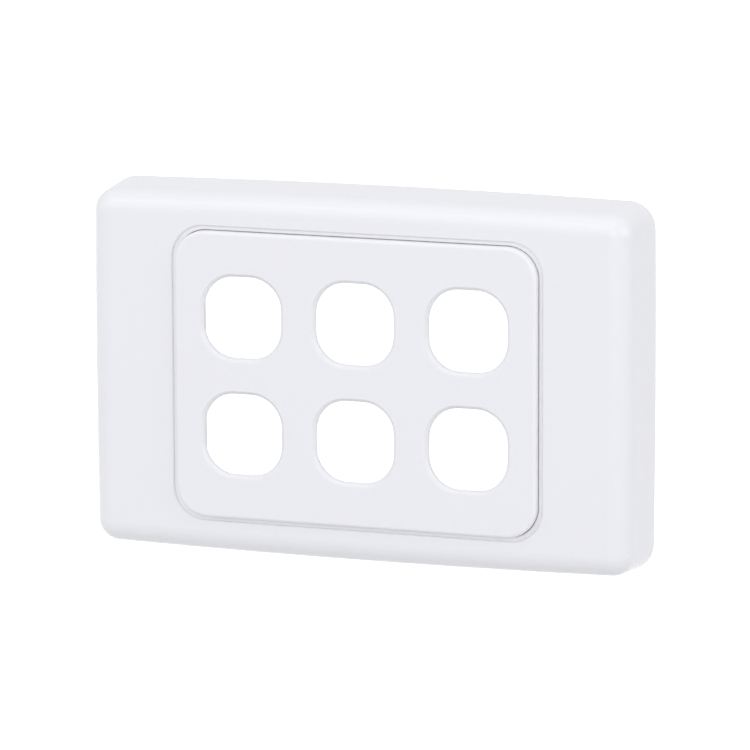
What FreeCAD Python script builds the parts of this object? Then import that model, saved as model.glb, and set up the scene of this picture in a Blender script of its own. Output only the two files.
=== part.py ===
import FreeCAD, Part
import math
import os

# Grid switch plate: an inner grid moulding and a clip-on surround, as they hang on a wall.
# X runs across the plate, Z is up and the front faces -Y. The origin is the centre of the wall plane.
# A depth is a distance from the wall plane towards the front, in millimetres.

# Apertures
aperture_rows = 2
aperture_columns = 3
aperture_size = 16.5
aperture_corner_radius = 6.5
aperture_edge_chamfer = 0.6

# Front panel of the grid
panel_end_margin = 6.05
panel_edge_margin = 8.95
panel_corner_radius = 6.4
panel_edge_radius = 0.7
panel_wall = 1.3
panel_rise = 1.1
tray_wall = 1.3

# Whole plate
plate_depth = 14.4
wing_width = 19.7
band_height = 8.5
long_side_bow = 0.7
short_side_bow = 0.26
draft_angle = 4.8
front_edge_radius = 4.4
front_corner_radius = 0.15
cover_wall = 1.9
cover_front_wall = 2.0

# Window of the surround
panel_gap = 0.12
land_width = 0.75
land_depth = 0.4
land_corner_radius = 6.7
land_edge_chamfer = 0.2
skirt_wall = 1.2
skirt_height = 2.4

# Fixing flange of the grid
flange_standoff = 1.8
flange_thickness = 1.8
flange_clearance = 0.5
rim_wall = 1.4
fixing_offset = 4.0
fixing_slot_width = 4.4
fixing_slot_length = 7.0
boss_wall = 1.3

# Seats for the switch mechanisms, behind the apertures
mechanism_width = 22.0
mechanism_height = 20.8
mechanism_clearance = 0.1
column_rib_thickness = 1.5
column_rib_tip = 7.4
finger_thickness = 1.0
finger_flex_gap = 0.7
finger_width = 9.0
finger_tip = 5.5
finger_hook_reach = 0.6
finger_hook_length = 2.0
finger_hook_slope = 0.3
guide_ribs_per_seat = 2
guide_rib_width = 1.2
guide_rib_spacing = 12.0

# Snap hooks of the surround
hooks_per_side = 2
hook_edge_distance = 5.0
hook_spacing = 40.0
hook_width = 6.0
hook_thickness = 1.4
hook_reach = 0.9
hook_clearance = 0.3
hook_catch_gap = 0.15
hook_tip = 0.5
hook_ramp = 0.25

# Stiffening ribs
rib_thickness = 1.2
cover_rib_height = 3.2
cover_rib_count = 4
cover_rib_spacing = 16.0
wing_rib_count = 2
wing_rib_spacing = 24.0
flange_rib_tip = 0.4

# Removal notch in the surround's lower rim
notch_width = 8.0
notch_depth = 1.4

# Overlap that makes joined forms one solid, and how near to a depth an edge counts as level
weld = 0.2
level_tolerance = 0.001

# Sizes that follow from the ones above
lean = math.tan(math.radians(draft_angle))
finger_offset = mechanism_height / 2 + mechanism_clearance
column_pitch = mechanism_width + 2 * mechanism_clearance + column_rib_thickness
row_pitch = 2 * (finger_offset + finger_thickness) + finger_flex_gap
panel_half_width = ((aperture_columns - 1) * column_pitch + aperture_size) / 2 + panel_end_margin
panel_half_height = ((aperture_rows - 1) * row_pitch + aperture_size) / 2 + panel_edge_margin
plate_half_width = panel_half_width + wing_width
plate_half_height = panel_half_height + band_height
front_roll = front_edge_radius * math.tan(math.radians(90 - draft_angle) / 2)
rim_corner_radius = lean * plate_depth + front_roll + front_corner_radius
panel_front = plate_depth + panel_rise
panel_back = panel_front - panel_wall
cover_ceiling = plate_depth - cover_front_wall
flange_front = flange_standoff + flange_thickness
flange_inset = cover_wall + lean * flange_front + flange_clearance
flange_half_width = plate_half_width - flange_inset
flange_half_height = plate_half_height - flange_inset
fixing_half_spacing = panel_half_width + fixing_offset
hook_centre = flange_half_width - hook_edge_distance


def point(across, up, depth):
    return FreeCAD.Vector(across, -depth, up)


def block(across, up, depth):
    """Box between the two limits given along each direction."""
    corner = point(across[0], up[0], depth[1])
    return Part.makeBox(across[1] - across[0], depth[1] - depth[0], up[1] - up[0], corner)


def along(low, high):
    """The same two limits in rising order."""
    return (min(low, high), max(low, high))


def bow_radius(half_chord, bow):
    """Radius of the arc whose middle stands proud of its ends by bow."""
    return (half_chord ** 2 + bow ** 2) / (2 * bow)


def stroke(start, middle, end):
    """Arc through three points, or the straight edge where they lie in line."""
    if (middle - start).cross(end - start).Length < level_tolerance:
        return Part.LineSegment(start, end).toShape()
    return Part.Arc(start, middle, end).toShape()


def mirrored_outline(quarter, depth):
    """Closed wire from one quarter, mirrored about both centre lines.

    The quarter holds five (across, up) spots: the top side's middle, the start, middle and end of the
    corner arc, and the right side's middle.
    """
    loop = list(quarter)
    loop += [(across, -up) for across, up in reversed(quarter[:-1])]
    loop += [(-across, -up) for across, up in quarter[1:]]
    loop += [(-across, up) for across, up in reversed(quarter[1:-1])]
    points = [point(across, up, depth) for across, up in loop + loop[:2]]
    edges = [stroke(*points[first:first + 3]) for first in range(1, len(loop), 2)]
    return Part.Wire(edges)


def bowed_outline(half_width, half_height, long_bow, short_bow, corner_radius, inset, depth):
    """Closed wire of four bowed sides and four tangent corner arcs, moved inwards by inset."""
    top_radius = bow_radius(half_width, long_bow)
    side_radius = bow_radius(half_height, short_bow)
    top_centre = FreeCAD.Vector(0, half_height - top_radius, 0)
    side_centre = FreeCAD.Vector(half_width - side_radius, 0, 0)
    top_reach = top_radius - corner_radius
    side_reach = side_radius - corner_radius
    between = side_centre - top_centre
    span = between.Length
    forward = between / span
    outward = FreeCAD.Vector(forward.y, -forward.x, 0)
    ahead = (span ** 2 + top_reach ** 2 - side_reach ** 2) / (2 * span)
    beside = math.sqrt(top_reach ** 2 - ahead ** 2)
    corner_centre = top_centre + forward * ahead + outward * beside
    from_top = (corner_centre - top_centre).normalize()
    from_side = (corner_centre - side_centre).normalize()
    diagonal = (from_top + from_side).normalize()
    start = top_centre + from_top * (top_radius - inset)
    bend = corner_centre + diagonal * (corner_radius - inset)
    end = side_centre + from_side * (side_radius - inset)
    corner = [(spot.x, spot.y) for spot in (start, bend, end)]
    return mirrored_outline([(0, half_height - inset)] + corner + [(half_width - inset, 0)], depth)


def straight_outline(half_width, half_height, corner_radius, depth):
    """Closed wire of four straight sides and four corner arcs."""
    flat_width = half_width - corner_radius
    flat_height = half_height - corner_radius
    slant = corner_radius / math.sqrt(2)
    corner = [
        (flat_width, half_height),
        (flat_width + slant, flat_height + slant),
        (half_width, flat_height),
    ]
    return mirrored_outline([(0, half_height)] + corner + [(half_width, 0)], depth)


def slab(outline, thickness):
    """Solid that fills the outline and grows towards the front."""
    return Part.Face(outline).extrude(FreeCAD.Vector(0, -thickness, 0))


def edges_at(shape, depth):
    """Edges that lie wholly at one depth."""
    found = []
    for edge in shape.Edges:
        box = edge.BoundBox
        if abs(box.YMin + depth) < level_tolerance and abs(box.YMax + depth) < level_tolerance:
            found.append(edge)
    return found


def obround(half_length, half_width, centre_across, depth, thickness):
    """Slot-shaped solid that runs across the plate."""
    arm = half_length - half_width
    left = centre_across - arm
    right = centre_across + arm
    upper = Part.LineSegment(point(left, half_width, depth), point(right, half_width, depth))
    lower = Part.LineSegment(point(right, -half_width, depth), point(left, -half_width, depth))
    right_tip = point(right + half_width, 0, depth)
    left_tip = point(left - half_width, 0, depth)
    right_end = Part.Arc(upper.EndPoint, right_tip, lower.StartPoint)
    left_end = Part.Arc(lower.EndPoint, left_tip, upper.StartPoint)
    outline = Part.Wire([upper.toShape(), right_end.toShape(), lower.toShape(), left_end.toShape()])
    return slab(outline, thickness)


def cover_outline(inset, depth):
    """Outline of the surround's wall at one depth, moved inwards by inset and by the wall's lean."""
    return bowed_outline(
        plate_half_width, plate_half_height, long_side_bow, short_side_bow,
        rim_corner_radius, inset + lean * depth, depth,
    )


def cover_form(inset, depth, edge_radius):
    """Leaning block with a rounded front edge: the surround's outside or its cavity."""
    form = Part.makeLoft([cover_outline(inset, 0), cover_outline(inset, depth)], True, True)
    return form.makeFillet(edge_radius, edges_at(form, depth))


def panel_outline(inset, depth):
    """Outline of the grid's raised panel, moved inwards by inset."""
    return straight_outline(
        panel_half_width - inset, panel_half_height - inset, panel_corner_radius - inset, depth,
    )


def spaced(count, pitch):
    """Places of equal features in a row about the middle."""
    return [(place - (count - 1) / 2) * pitch for place in range(count)]


def aperture_centres():
    columns = spaced(aperture_columns, column_pitch)
    return [(across, up) for up in spaced(aperture_rows, row_pitch) for across in columns]


def aperture_form():
    """Rounded square plug that cuts one aperture through the panel."""
    half = aperture_size / 2
    outline = straight_outline(half, half, aperture_corner_radius, panel_back - weld)
    return slab(outline, panel_wall + 2 * weld)


def tray():
    """Raised front panel with its side walls, and six apertures with eased edges."""
    body = slab(panel_outline(0, flange_standoff), panel_front - flange_standoff)
    body = body.makeFillet(panel_edge_radius, edges_at(body, panel_front))
    body = body.cut(slab(panel_outline(tray_wall, 0), panel_back))
    plug = aperture_form()
    for across, up in aperture_centres():
        body = body.cut(plug.translated(point(across, up, 0)))
    rims = [edge for edge in edges_at(body, panel_front) if in_aperture(edge)]
    return body.makeChamfer(aperture_edge_chamfer, rims)


def in_aperture(edge):
    """True for an edge that belongs to an aperture's rim."""
    middle = edge.BoundBox.Center
    for across, up in aperture_centres():
        if math.hypot(middle.x - across, middle.z - up) < aperture_size / math.sqrt(2):
            return True
    return False


def snap_finger(across, up, side):
    """Cantilever finger above or below one aperture, with a hook that points at the mechanism."""
    face = up + side * finger_offset
    back = face + side * finger_thickness
    crest = face - side * finger_hook_reach
    root = panel_back + weld
    catch = finger_tip + finger_hook_length
    left = across - finger_width / 2
    corners = [
        point(left, back, root),
        point(left, face, root),
        point(left, face, catch),
        point(left, crest, catch - finger_hook_slope),
        point(left, face, finger_tip),
        point(left, back, finger_tip),
    ]
    profile = Part.Face(Part.makePolygon(corners + corners[:1]))
    return profile.extrude(FreeCAD.Vector(finger_width, 0, 0))


def column_ribs():
    """Ribs between the columns of apertures, from one long tray wall to the other."""
    ribs = []
    reach = panel_half_height - tray_wall + weld
    for middle in spaced(aperture_columns - 1, column_pitch):
        across = (middle - column_rib_thickness / 2, middle + column_rib_thickness / 2)
        ribs.append(block(across, (-reach, reach), (column_rib_tip, panel_back + weld)))
    return ribs


def guide_ribs():
    """Pairs of short ribs on the tray's end walls that locate the outer mechanisms."""
    ribs = []
    outer_column = (aperture_columns - 1) / 2 * column_pitch
    face = outer_column + mechanism_width / 2 + mechanism_clearance
    wall = panel_half_width - tray_wall + weld
    for side in (-1, 1):
        across = along(side * face, side * wall)
        for up in spaced(aperture_rows, row_pitch):
            for offset in spaced(guide_ribs_per_seat, guide_rib_spacing):
                middle = up + offset
                height = (middle - guide_rib_width / 2, middle + guide_rib_width / 2)
                ribs.append(block(across, height, (column_rib_tip, panel_back + weld)))
    return ribs


def flange():
    """Hidden fixing flange with its back rim, open behind the tray."""
    def outline(inset, depth):
        return bowed_outline(
            plate_half_width, plate_half_height, long_side_bow, short_side_bow,
            rim_corner_radius, flange_inset + inset, depth,
        )

    body = slab(outline(0, 0), flange_front)
    body = body.cut(slab(outline(rim_wall, 0), flange_standoff))
    return body.cut(slab(panel_outline(weld, 0), flange_front))


def flange_ribs():
    """Low ribs between the tray and the rim, on the wall side of the flange."""
    ribs = []
    depth = (flange_rib_tip, flange_standoff + weld)
    for side in (-1, 1):
        ends = along(side * (panel_half_width - weld), side * (flange_half_width - rim_wall + weld))
        for up in spaced(wing_rib_count, wing_rib_spacing):
            height = (up - rib_thickness / 2, up + rib_thickness / 2)
            ribs.append(block(ends, height, depth))
        inner_rim = flange_half_height - long_side_bow - rim_wall + weld
        height = along(side * (panel_half_height - weld), side * inner_rim)
        for middle in spaced(aperture_columns, column_pitch):
            across = (middle - rib_thickness / 2, middle + rib_thickness / 2)
            ribs.append(block(across, height, depth))
    return ribs


def hook_places():
    return [(side, up) for side in (-1, 1) for up in spaced(hooks_per_side, hook_spacing)]


def hook_windows():
    """Holes in the flange that the surround's hooks pass through."""
    windows = []
    inner = hook_centre - hook_thickness / 2 - hook_reach - hook_clearance
    outer = hook_centre + hook_thickness / 2 + hook_clearance
    half = hook_width / 2 + hook_clearance
    for side, up in hook_places():
        across = along(side * inner, side * outer)
        windows.append(block(across, (up - half, up + half), (0, flange_front + weld)))
    return windows


def grid_plate():
    """The inner moulding."""
    added = [flange()] + flange_ribs() + column_ribs() + guide_ribs()
    for across, up in aperture_centres():
        for side in (-1, 1):
            added.append(snap_finger(across, up, side))
    boss_half_length = fixing_slot_length / 2 + boss_wall
    boss_half_width = fixing_slot_width / 2 + boss_wall
    for side in (-1, 1):
        centre = side * fixing_half_spacing
        added.append(obround(boss_half_length, boss_half_width, centre, 0, flange_front))
    body = tray().fuse(added)
    removed = hook_windows()
    for side in (-1, 1):
        centre = side * fixing_half_spacing
        slot = obround(fixing_slot_length / 2, fixing_slot_width / 2, centre, 0, flange_front + weld)
        removed.append(slot)
    return body.cut(removed).removeSplitter()


def snap_hook(side, up):
    """Hook that springs through the flange and catches behind it."""
    inner = side * (hook_centre - hook_thickness / 2)
    outer = side * (hook_centre + hook_thickness / 2)
    crest = outer + side * hook_reach
    catch = flange_standoff - hook_catch_gap
    root = cover_ceiling + weld
    low = up - hook_width / 2
    corners = [
        point(inner, low, root),
        point(outer, low, root),
        point(outer, low, catch),
        point(crest, low, catch),
        point(crest, low, catch - hook_ramp),
        point(outer, low, hook_tip),
        point(inner, low, hook_tip),
    ]
    profile = Part.Face(Part.makePolygon(corners + corners[:1]))
    return profile.extrude(FreeCAD.Vector(0, 0, hook_width))


def cover_ribs():
    """Ribs between the window skirt and the surround's outer walls."""
    ribs = []
    depth = (cover_ceiling - cover_rib_height, cover_ceiling + weld)
    skirt = panel_gap + skirt_wall - weld
    wall_inset = cover_wall + lean * (cover_ceiling - cover_rib_height)
    for side in (-1, 1):
        reach = plate_half_width - short_side_bow - wall_inset + weld
        across = along(side * (panel_half_width + skirt), side * reach)
        for up in spaced(wing_rib_count, wing_rib_spacing):
            ribs.append(block(across, (up - rib_thickness / 2, up + rib_thickness / 2), depth))
        reach = plate_half_height - long_side_bow - wall_inset + weld
        height = along(side * (panel_half_height + skirt), side * reach)
        for middle in spaced(cover_rib_count, cover_rib_spacing):
            across = (middle - rib_thickness / 2, middle + rib_thickness / 2)
            ribs.append(block(across, height, depth))
    return ribs


def window_rims(body):
    """Edges of the recess where it meets the surround's front."""
    reach = panel_half_width + panel_gap + land_width + level_tolerance
    boxes = [(edge, edge.BoundBox) for edge in edges_at(body, plate_depth)]
    return [edge for edge, box in boxes if -reach < box.XMin and box.XMax < reach]


def surround():
    """The clip-on cover."""
    outside = cover_form(0, plate_depth, front_edge_radius)
    cavity = cover_form(cover_wall, cover_ceiling, front_edge_radius - cover_wall)
    body = outside.cut(cavity)
    skirt_tip = cover_ceiling - skirt_height
    skirt = slab(panel_outline(-panel_gap - skirt_wall, skirt_tip), skirt_height + weld)
    hooks = [snap_hook(side, up) for side, up in hook_places()]
    body = body.fuse([skirt] + cover_ribs() + hooks)
    window = slab(panel_outline(-panel_gap, 0), plate_depth + weld)
    land_outline = straight_outline(
        panel_half_width + panel_gap + land_width, panel_half_height + panel_gap + land_width,
        land_corner_radius, plate_depth - land_depth,
    )
    land = slab(land_outline, land_depth + weld)
    rim_side = (-plate_half_height - weld, -plate_half_height + cover_wall + long_side_bow + weld)
    notch = block((-notch_width / 2, notch_width / 2), rim_side, (0, notch_depth))
    body = body.cut([window, land, notch]).removeSplitter()
    return body.makeChamfer(land_edge_chamfer, window_rims(body))


def main():
    os.makedirs("parts", exist_ok=True)
    nodes = {"grid_plate": grid_plate(), "surround": surround()}
    for name, shape in nodes.items():
        shape.exportStep("parts/" + name + ".step")
        print(name, len(shape.Solids), "solid", shape.isValid(), round(shape.Volume, 1), "mm3")


main()
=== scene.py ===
import bpy
import math
from mathutils import Matrix, Vector


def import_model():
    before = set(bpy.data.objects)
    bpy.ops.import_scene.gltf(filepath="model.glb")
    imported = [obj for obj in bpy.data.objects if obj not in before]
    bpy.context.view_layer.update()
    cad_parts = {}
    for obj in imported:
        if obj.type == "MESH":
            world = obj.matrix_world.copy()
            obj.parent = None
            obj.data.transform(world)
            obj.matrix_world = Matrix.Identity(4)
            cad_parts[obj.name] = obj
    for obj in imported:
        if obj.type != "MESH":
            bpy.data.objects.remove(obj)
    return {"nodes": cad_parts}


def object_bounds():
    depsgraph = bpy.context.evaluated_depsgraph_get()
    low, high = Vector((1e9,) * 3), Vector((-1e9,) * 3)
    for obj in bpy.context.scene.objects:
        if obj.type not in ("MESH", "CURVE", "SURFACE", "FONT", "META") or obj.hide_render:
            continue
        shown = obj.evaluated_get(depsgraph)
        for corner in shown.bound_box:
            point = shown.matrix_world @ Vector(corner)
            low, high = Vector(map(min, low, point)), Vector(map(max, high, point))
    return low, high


# A white grid switch plate, seen a little from the right and from above on a plain white ground.

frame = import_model()
cad_low, cad_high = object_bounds()
scene = bpy.context.scene

# Camera: turned to the plate's right, raised, and a long way off, in metres and degrees
CAMERA_TURN = 19.852
CAMERA_RISE = 10.624
CAMERA_ROLL = -0.203
CAMERA_DISTANCE = 1.1346
CAMERA_SIDEWAYS = -0.001000
CAMERA_UPWARDS = -0.000891
CAMERA_NEAREST = 0.01
CAMERA_FARTHEST = 50.0
FOCAL_PIXELS = 5661.3
IMAGE_PIXELS = 750
SENSOR_MM = 36.0

# The floor lies this far below the plate, which hangs as on a wall, and its half width, in metres
FLOOR_DROP = 0.075
FLOOR_HALF = 6.0

# The floor is a matt pale grey, of this linear level
FLOOR_PALENESS = 0.7
FLOOR_ROUGHNESS = 0.9

# Brightness that the floor gains where it is seen by the camera, in a reflection or through glass
FLOOR_LIFT = 0.62

# The world is white where it is seen, and lights the plate evenly at this level
PURE_WHITE = (1.0, 1.0, 1.0, 1.0)
WORLD_LEVEL = 0.67

# Lamps stand this far from the plate's middle, in metres
LAMP_DISTANCE = 1.5
FRONT_LAMP_DISTANCE = 1.7

# Moulded plastic: linear colours, refraction, and light that spreads inside, with its reach in metres
WHITE_UPPER = (0.843, 0.849, 0.893, 1.0)
WHITE_LOWER = (0.838, 0.841, 0.888, 1.0)
REFRACTION = 1.49
SPREAD_SHARE = 0.06
SPREAD_REACH = (0.0012, 0.0011, 0.0010)

# The surround is a little glossier than the inner panel, and both vary by this much
GRID_ROUGHNESS = 0.33
SURROUND_ROUGHNESS = 0.235
ROUGHNESS_CHANGE = 0.03

# Faint flow clouds, in features per metre, and the stretch of their noise where the colour changes
FLOW_CLOUDS = {"Scale": 38.0, "Detail": 3.0, "Roughness": 0.5}
CLOUD_STRETCH = (0.3, 0.7)

# Relief of the skin, in features per metre, with its depth in metres, and the radius of soft edges
SOFT_WAVES = {"scale": 90.0, "detail": 1.0, "harshness": 0.4, "strength": 0.10, "depth": 0.00006}
FINE_GRAIN = {"scale": 9000.0, "detail": 2.0, "harshness": 0.6, "strength": 0.12, "depth": 0.00002}
EDGE_SOFTNESS = 0.00035

# Painted light: narrow gaps and corners are painted paler and warmer, standing in for light that bounces
# and spreads in them, within this reach in metres
PAINTED_GAP_LIGHT = (0.97, 0.93, 0.90, 1.0)
PAINTED_GAP_LIGHT_REACH = 0.0006

# Painted highlight: the thin edges of the inner panel are painted paler, standing in for light that
# comes through them, within this reach in metres
PAINTED_EDGE_HIGHLIGHT = (0.98, 0.98, 1.0, 1.0)
PAINTED_EDGE_HIGHLIGHT_REACH = 0.0008

# Rays that look for near surfaces, for the painted light in gaps and on edges and for the soft edges
NEARNESS_SAMPLES = 8


def node_at(tree, kind, **settings):
    """A new shader node with its properties and input values set."""
    made = tree.nodes.new(kind)
    for name, value in settings.items():
        if name in made.inputs:
            made.inputs[name].default_value = value
        else:
            setattr(made, name, value)
    return made


def painted_light_by_nearness(tree, colour, tone, reach, inside):
    """The colour, which turns to a painted light tone where a surface lies near, inside the piece or
    outside it.
    """
    nearness = node_at(
        tree, "ShaderNodeAmbientOcclusion", samples=NEARNESS_SAMPLES, inside=inside, Distance=reach,
    )
    blend = node_at(tree, "ShaderNodeMixRGB", Color1=tone)
    tree.links.new(nearness.outputs["AO"], blend.inputs["Fac"])
    tree.links.new(colour, blend.inputs["Color2"])
    return blend.outputs["Color"]


def relief(tree, place, below, scale, detail, harshness, strength, depth):
    """Noise relief, laid over the surface normals of the node below it."""
    noise = node_at(tree, "ShaderNodeTexNoise", Scale=scale, Detail=detail, Roughness=harshness)
    bump = node_at(tree, "ShaderNodeBump", Strength=strength, Distance=depth)
    tree.links.new(place.outputs["Object"], noise.inputs["Vector"])
    tree.links.new(noise.outputs["Fac"], bump.inputs["Height"])
    tree.links.new(below.outputs["Normal"], bump.inputs["Normal"])
    return bump


def moulded_plastic(name, roughness, painted_edge_highlight):
    """Satin white moulding with faint flow clouds, painted paler light in gaps and corners, a painted
    highlight on thin edges, and a fine eroded skin.
    """
    material = bpy.data.materials.new(name)
    material.use_nodes = True
    tree = material.node_tree
    link = tree.links.new
    shader = tree.nodes["Principled BSDF"]
    shader.inputs["IOR"].default_value = REFRACTION
    shader.inputs["Subsurface Weight"].default_value = SPREAD_SHARE
    shader.inputs["Subsurface Radius"].default_value = SPREAD_REACH
    shader.inputs["Subsurface Scale"].default_value = 1.0

    place = node_at(tree, "ShaderNodeTexCoord")
    clouds = node_at(tree, "ShaderNodeTexNoise", **FLOW_CLOUDS)
    tint = node_at(tree, "ShaderNodeValToRGB")
    for stop, position, colour in zip(
        tint.color_ramp.elements, CLOUD_STRETCH, (WHITE_LOWER, WHITE_UPPER),
    ):
        stop.position = position
        stop.color = colour
    link(place.outputs["Object"], clouds.inputs["Vector"])
    link(clouds.outputs["Fac"], tint.inputs["Fac"])
    # Painted light: narrow gaps and corners are painted paler and warmer
    with_painted_gap_light = painted_light_by_nearness(tree, tint.outputs["Color"], PAINTED_GAP_LIGHT, PAINTED_GAP_LIGHT_REACH, inside=False)
    # Painted highlight: thin edges are painted paler; on the surround this tone is its plain white
    with_painted_edge_highlight = painted_light_by_nearness(tree, with_painted_gap_light, painted_edge_highlight, PAINTED_EDGE_HIGHLIGHT_REACH, inside=True)
    link(with_painted_edge_highlight, shader.inputs["Base Color"])

    polish = node_at(tree, "ShaderNodeMapRange")
    polish.inputs["To Min"].default_value = roughness - ROUGHNESS_CHANGE
    polish.inputs["To Max"].default_value = roughness + ROUGHNESS_CHANGE
    link(clouds.outputs["Fac"], polish.inputs["Value"])
    link(polish.outputs["Result"], shader.inputs["Roughness"])

    soft_edges = node_at(tree, "ShaderNodeBevel", samples=NEARNESS_SAMPLES, Radius=EDGE_SOFTNESS)
    waves = relief(tree, place, soft_edges, **SOFT_WAVES)
    grain = relief(tree, place, waves, **FINE_GRAIN)
    link(grain.outputs["Normal"], shader.inputs["Normal"])
    return material


def dress(node, material):
    """Gives a CAD node's own object a finished material."""
    piece = frame["nodes"][node]
    for slot in piece.material_slots:
        slot.material = material


def background_rays(tree):
    """Camera, mirror and see-through rays, as one factor."""
    path = tree.nodes.new("ShaderNodeLightPath")
    glossy = node_at(tree, "ShaderNodeMath", operation="MAXIMUM")
    both = node_at(tree, "ShaderNodeMath", operation="MAXIMUM")
    tree.links.new(path.outputs["Is Camera Ray"], glossy.inputs[0])
    tree.links.new(path.outputs["Is Glossy Ray"], glossy.inputs[1])
    tree.links.new(glossy.outputs[0], both.inputs[0])
    tree.links.new(path.outputs["Is Transmission Ray"], both.inputs[1])
    return both.outputs[0]


def floor():
    """Pale floor that reads as white and still takes the plate's shadow."""
    bpy.ops.mesh.primitive_plane_add(size=2 * FLOOR_HALF, location=(0, 0, cad_low.z - FLOOR_DROP))
    ground = bpy.context.object
    ground.name = "floor"
    material = bpy.data.materials.new("pale_floor")
    material.use_nodes = True
    tree = material.node_tree
    shader = tree.nodes["Principled BSDF"]
    shader.inputs["Base Color"].default_value = (FLOOR_PALENESS, FLOOR_PALENESS, FLOOR_PALENESS, 1.0)
    shader.inputs["Roughness"].default_value = FLOOR_ROUGHNESS
    shader.inputs["Emission Color"].default_value = PURE_WHITE
    lift = node_at(tree, "ShaderNodeMath", operation="MULTIPLY")
    lift.inputs[1].default_value = FLOOR_LIFT
    tree.links.new(background_rays(tree), lift.inputs[0])
    tree.links.new(lift.outputs[0], shader.inputs["Emission Strength"])
    ground.data.materials.append(material)


def world():
    """White behind the plate, and an even soft light from all round."""
    made = bpy.data.worlds.new("studio")
    scene.world = made
    made.use_nodes = True
    tree = made.node_tree
    shade = tree.nodes["Background"]
    shade.inputs["Color"].default_value = PURE_WHITE
    strength = node_at(tree, "ShaderNodeMapRange")
    strength.inputs["To Min"].default_value = WORLD_LEVEL
    strength.inputs["To Max"].default_value = 1.0
    tree.links.new(background_rays(tree), strength.inputs["Value"])
    tree.links.new(strength.outputs["Result"], shade.inputs["Strength"])


def direction(turn, rise):
    """Unit vector from the plate's middle, turned to the right and raised by angles in degrees."""
    turn = math.radians(turn)
    rise = math.radians(rise)
    return Vector((
        math.sin(turn) * math.cos(rise), -math.cos(turn) * math.cos(rise), math.sin(rise),
    ))


def softbox(name, turn, rise, size, power, distance=LAMP_DISTANCE):
    """Rectangular lamp that faces the plate's middle, in degrees, metres and watts."""
    lamp = bpy.data.lights.new(name, "AREA")
    lamp.shape = "RECTANGLE"
    lamp.size, lamp.size_y = size
    lamp.energy = power
    holder = bpy.data.objects.new(name, lamp)
    holder.location = direction(turn, rise) * distance
    holder.rotation_mode = "QUATERNION"
    holder.rotation_quaternion = (-holder.location).to_track_quat("-Z", "Y")
    scene.collection.objects.link(holder)


def camera():
    """Camera at the photograph's turn, rise, roll and distance."""
    turn = math.radians(CAMERA_TURN)
    roll = math.radians(CAMERA_ROLL)
    back = direction(CAMERA_TURN, CAMERA_RISE)
    level = Vector((math.cos(turn), math.sin(turn), 0.0))
    upright = back.cross(level)
    right = level * math.cos(roll) + upright * math.sin(roll)
    up = upright * math.cos(roll) - level * math.sin(roll)
    lens = bpy.data.cameras.new("camera")
    lens.sensor_width = SENSOR_MM
    lens.lens = FOCAL_PIXELS * SENSOR_MM / IMAGE_PIXELS
    lens.clip_start = CAMERA_NEAREST
    lens.clip_end = CAMERA_FARTHEST
    holder = bpy.data.objects.new("camera", lens)
    turned = Matrix((right, up, back)).transposed().to_4x4()
    spot = back * CAMERA_DISTANCE + right * CAMERA_SIDEWAYS + up * CAMERA_UPWARDS
    holder.matrix_world = Matrix.Translation(spot) @ turned
    scene.collection.objects.link(holder)
    scene.camera = holder


dress("grid_plate", moulded_plastic("grid_plastic", GRID_ROUGHNESS, PAINTED_EDGE_HIGHLIGHT))
dress("surround", moulded_plastic("surround_plastic", SURROUND_ROUGHNESS, WHITE_UPPER))
floor()
world()
softbox("high_left_strip", turn=-25, rise=50, size=(0.9, 0.25), power=1.4)
softbox("left_softbox", turn=-25, rise=30, size=(0.9, 0.5), power=1.0)
softbox("top_softbox", turn=0, rise=78, size=(1.2, 0.6), power=1.6)
softbox("right_softbox", turn=75, rise=20, size=(0.9, 0.9), power=3.95)
softbox("far_left_softbox", turn=-65, rise=15, size=(0.9, 0.9), power=1.35)
softbox("front_softbox", turn=10, rise=15, size=(1.0, 1.0), power=4.95, distance=FRONT_LAMP_DISTANCE)
camera()
scene.view_settings.view_transform = "Standard"
